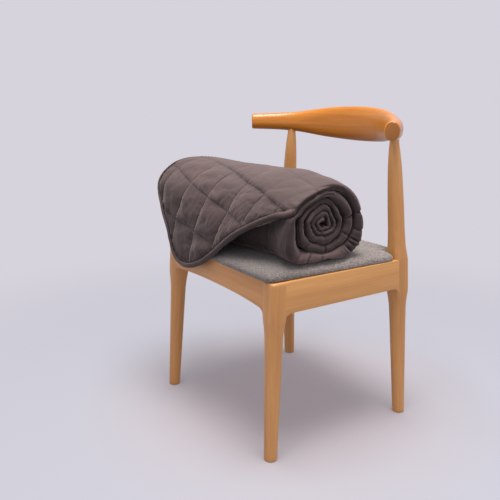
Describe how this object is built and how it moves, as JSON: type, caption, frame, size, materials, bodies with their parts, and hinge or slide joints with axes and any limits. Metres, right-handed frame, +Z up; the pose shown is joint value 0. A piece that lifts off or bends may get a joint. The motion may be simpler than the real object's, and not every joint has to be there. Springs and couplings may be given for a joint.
{
  "type": "rolled weighted blanket on a chair",
  "caption": "Quilted weighted blanket folded along its length, rolled up and laid across the seat of a plain wooden dining chair, its loose corner falling over the front edge.",
  "frame": {"origin": "on the floor under the middle of the whole object's bounding box", "axes": "+Z up, +X towards the right of somebody looking at the chair's front, -Y out of the chair's front"},
  "size_m": [0.5592, 0.4826, 0.746],
  "materials": {
    "blanket_cloth": "soft quilted cloth, matte with a slight sheen",
    "binding_cloth": "narrow sewn cloth binding",
    "seat_cloth": "heathered woven upholstery",
    "backrest_wood": "polished, warm brown",
    "frame_wood": "satin, light brown"
  },
  "bodies": {
    "root": {"blanket_roll": "blanket_cloth", "blanket_flap": "blanket_cloth", "flap_binding": "binding_cloth", "seat_pad": "seat_cloth", "backrest": "backrest_wood", "leg_front_right": "frame_wood", "leg_front_left": "frame_wood", "leg_back_right": "frame_wood", "leg_back_left": "frame_wood", "rail_front": "frame_wood", "rail_back": "frame_wood", "rail_right": "frame_wood", "rail_left": "frame_wood"}
  },
  "joints": []
}
